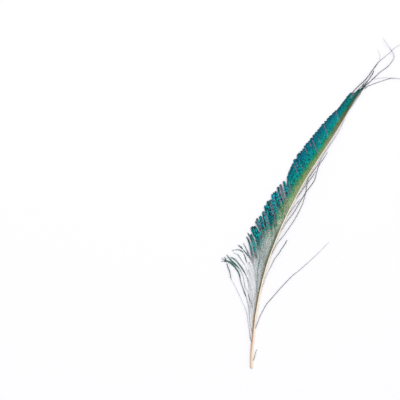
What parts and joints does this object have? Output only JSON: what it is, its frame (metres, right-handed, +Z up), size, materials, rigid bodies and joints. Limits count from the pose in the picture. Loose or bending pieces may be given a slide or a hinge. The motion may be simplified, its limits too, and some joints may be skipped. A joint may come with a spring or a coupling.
{
  "type": "peacock feather",
  "caption": "Single side feather of a peacock's train, lying down: bowed ivory shaft, teal web and open fan of barbs on one side, loose barbs at the other side and the tip.",
  "frame": {"origin": "on the flat underside of the quill, 6 mm above its cut end", "axes": "+Y up the feather from the quill to the tip, +Z up from the surface it lies on, +X to the right seen from above, so the web is at the left"},
  "size_m": [0.1821, 0.3302, 0.0057],
  "materials": {
    "shaft_ivory": "smooth keratin, cream on top with a brown line along the barb side, darkening to bronze near the tip",
    "web_teal": "close iridescent barbs: navy and teal at the edge, green, then olive and bronze at the shaft",
    "fan_grey_green": "open barbs: dark teal strands with grey-green fine barbs between them",
    "barb_dark_green": "thin dark green strands with beaded tufts",
    "barb_grey": "thin grey-brown strands, fading to their tips"
  },
  "bodies": {
    "root": {"shaft": "shaft_ivory", "fan": "fan_grey_green", "web": "web_teal", "left_barb_1": "barb_dark_green", "left_barb_2": "barb_dark_green", "left_barb_3": "barb_dark_green", "left_barb_4": "barb_dark_green", "left_barb_5": "barb_dark_green", "left_barb_6": "barb_dark_green", "left_barb_7": "barb_dark_green", "right_barb_1": "barb_grey", "right_barb_2": "barb_grey", "right_barb_3": "barb_grey", "right_barb_4": "barb_grey", "right_barb_5": "barb_grey", "right_barb_6": "barb_grey", "right_barb_7": "barb_grey", "right_barb_8": "barb_grey", "tip_barb_1": "barb_grey", "tip_barb_2": "barb_grey", "tip_barb_3": "barb_grey", "tip_barb_4": "barb_grey", "tip_barb_5": "barb_grey", "tip_barb_6": "barb_grey"}
  },
  "joints": []
}
